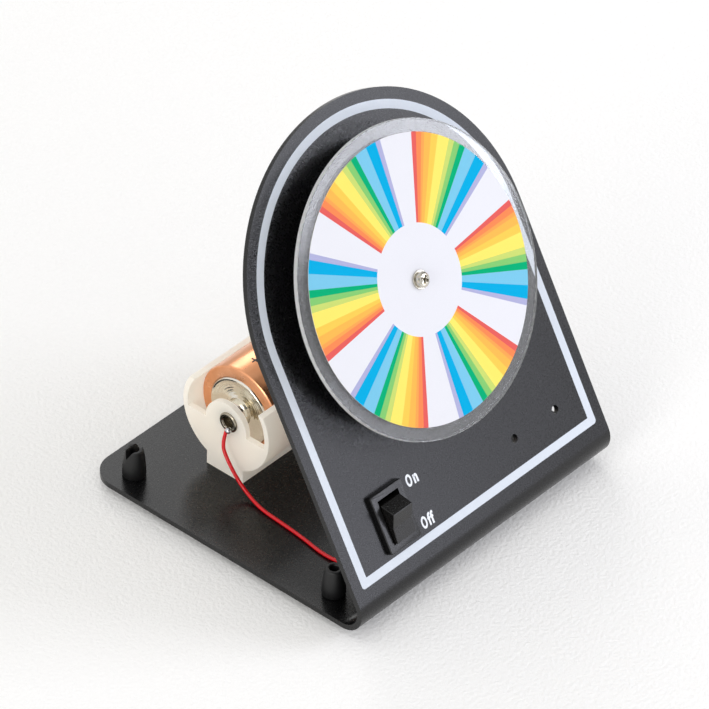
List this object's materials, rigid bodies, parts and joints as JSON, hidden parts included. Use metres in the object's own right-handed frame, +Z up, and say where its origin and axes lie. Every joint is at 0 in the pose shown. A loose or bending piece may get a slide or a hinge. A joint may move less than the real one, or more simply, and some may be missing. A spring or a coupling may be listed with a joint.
{
  "type": "motor-driven colour disc",
  "caption": "Newton colour disc: a small motor behind a leaning panel spins a printed disc until its colours blend to near white; cell cradle and rocker switch on a folded steel stand.",
  "frame": {"origin": "under the middle of the stand's outline, at the bottom of its feet", "axes": "+Z up, +X along the fold towards the right seen from the front, +Y from the panel towards the rear of the base"},
  "size_m": [0.127, 0.1218, 0.1459],
  "materials": {
    "black_enamel": "satin black enamel on folded steel sheet",
    "foot_rubber": "matte black",
    "holder_plastic": "translucent milky moulding",
    "plated_contact": "nickel plated",
    "cell_steel": "bright nickel plated",
    "cell_paste": "dark pressed powder",
    "copper_sleeve": "copper metallic film",
    "zinc_steel": "zinc plated",
    "motor_steel": "zinc plated",
    "motor_nylon": "natural nylon",
    "ferrite": "ground ferrite",
    "sintered_bronze": "sintered",
    "core_steel": "varnished laminations",
    "coil_copper": "enamelled copper",
    "brush_bronze": "rolled strip",
    "hub_aluminium": "turned",
    "clear_acrylic": "clear polished",
    "label_paper": "coated, printed in colour sectors",
    "switch_nylon": "semi-gloss black",
    "tinned_brass": "tinned",
    "solder": "bright tin",
    "red_insulation": "glossy flexible insulation"
  },
  "bodies": {
    "stand_body": {"stand": "black_enamel", "foot_front_left": "foot_rubber", "foot_front_right": "foot_rubber", "foot_rear_left": "foot_rubber", "foot_rear_right": "foot_rubber", "battery_holder": "holder_plastic", "positive_eyelet": "plated_contact", "positive_contact": "plated_contact", "negative_eyelet": "plated_contact", "negative_contact": "plated_contact", "negative_spring": "plated_contact", "cell_can": "cell_steel", "cell_negative_cap": "cell_steel", "cell_fill": "cell_paste", "cell_sleeve": "copper_sleeve", "holder_screw_left": "zinc_steel", "holder_screw_right": "zinc_steel", "holder_nut_left": "zinc_steel", "holder_nut_right": "zinc_steel", "motor_screw_left": "zinc_steel", "motor_screw_right": "zinc_steel", "motor_can": "motor_steel", "motor_cap": "motor_nylon", "motor_magnet_upper": "ferrite", "motor_magnet_lower": "ferrite", "front_bushing": "sintered_bronze", "rear_bushing": "sintered_bronze", "motor_brush_upper": "brush_bronze", "motor_brush_lower": "brush_bronze", "switch_housing": "switch_nylon", "switch_terminal_upper": "tinned_brass", "switch_terminal_lower": "tinned_brass", "eyelet_solder": "solder", "terminal_solder": "solder", "red_lead": "red_insulation"},
    "spinner": {"motor_shaft": "motor_steel", "armature_core": "core_steel", "armature_coils": "coil_copper", "commutator": "coil_copper", "hub": "hub_aluminium", "clear_disc": "clear_acrylic", "colour_label": "label_paper", "disc_washer": "zinc_steel", "disc_screw": "zinc_steel"},
    "switch_rocker": {"rocker": "switch_nylon"}
  },
  "joints": [
    {"name": "disc_spin", "type": "hinge", "parent": "stand_body", "child": "spinner", "pos_m": [0, -0.01632, 0.0909], "axis": [0, -0.866, 0.5], "continuous": true},
    {"name": "rocker_tilt", "type": "hinge", "parent": "stand_body", "child": "switch_rocker", "pos_m": [-0.037, -0.048, 0.03124], "axis": [-1, 0, 0], "range_deg": [0, 36]}
  ]
}
